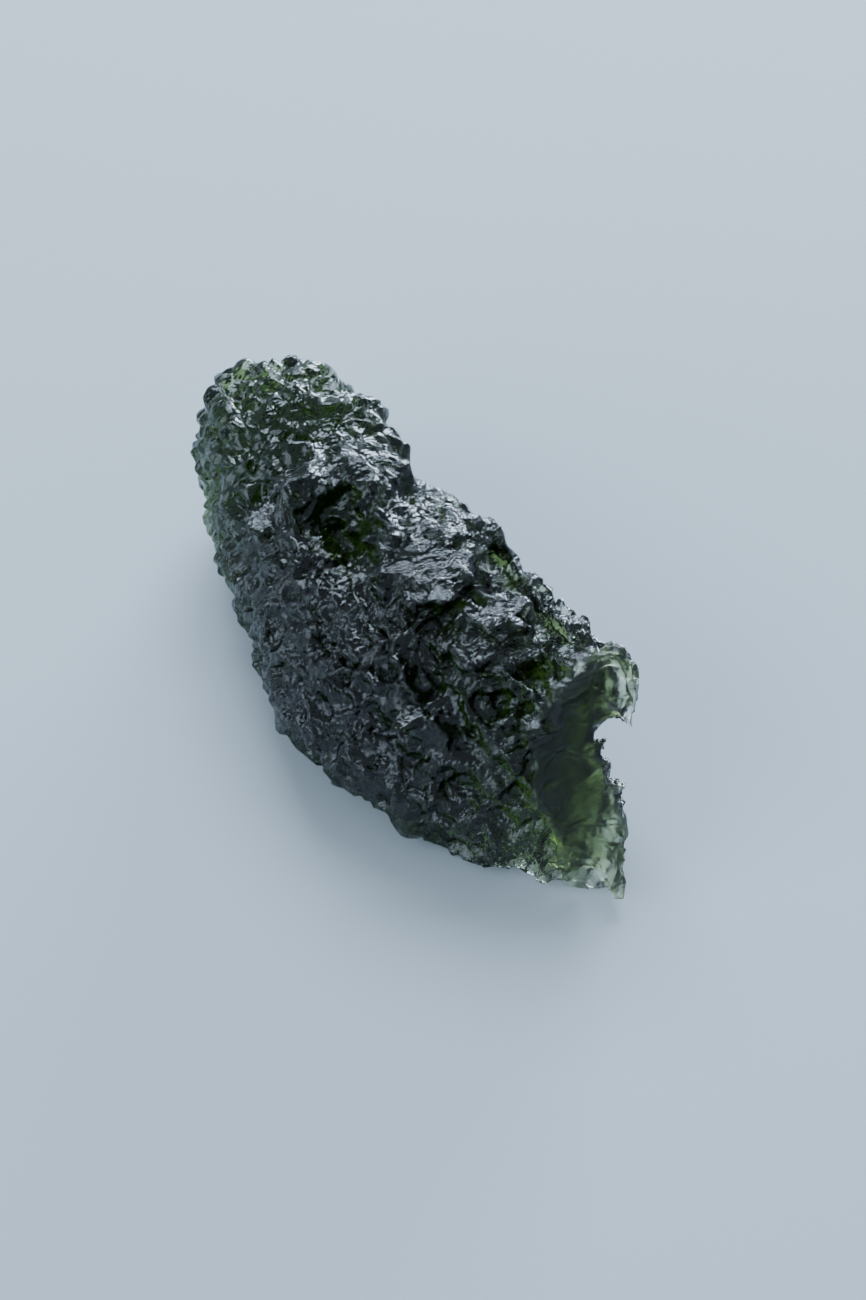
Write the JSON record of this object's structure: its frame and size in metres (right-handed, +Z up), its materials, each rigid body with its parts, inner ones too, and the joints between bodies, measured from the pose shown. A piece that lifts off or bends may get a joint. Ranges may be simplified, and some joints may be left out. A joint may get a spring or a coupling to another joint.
{
  "type": "moldavite",
  "caption": "Raw piece of natural deep green glass with a pitted, ridged skin, a hollow broken end and a thin chipped edge.",
  "frame": {"origin": "on the flat spot that the stone rests on, under the middle of its length and width", "axes": "+X along the stone towards the broken end, +Z up, and +Y towards the side with the thin chipped edge"},
  "size_m": [0.0274, 0.011, 0.0093],
  "materials": {
    "moldavite_glass": "clear, with an etched, shiny surface"
  },
  "bodies": {
    "root": {"moldavite": "moldavite_glass"}
  },
  "joints": []
}
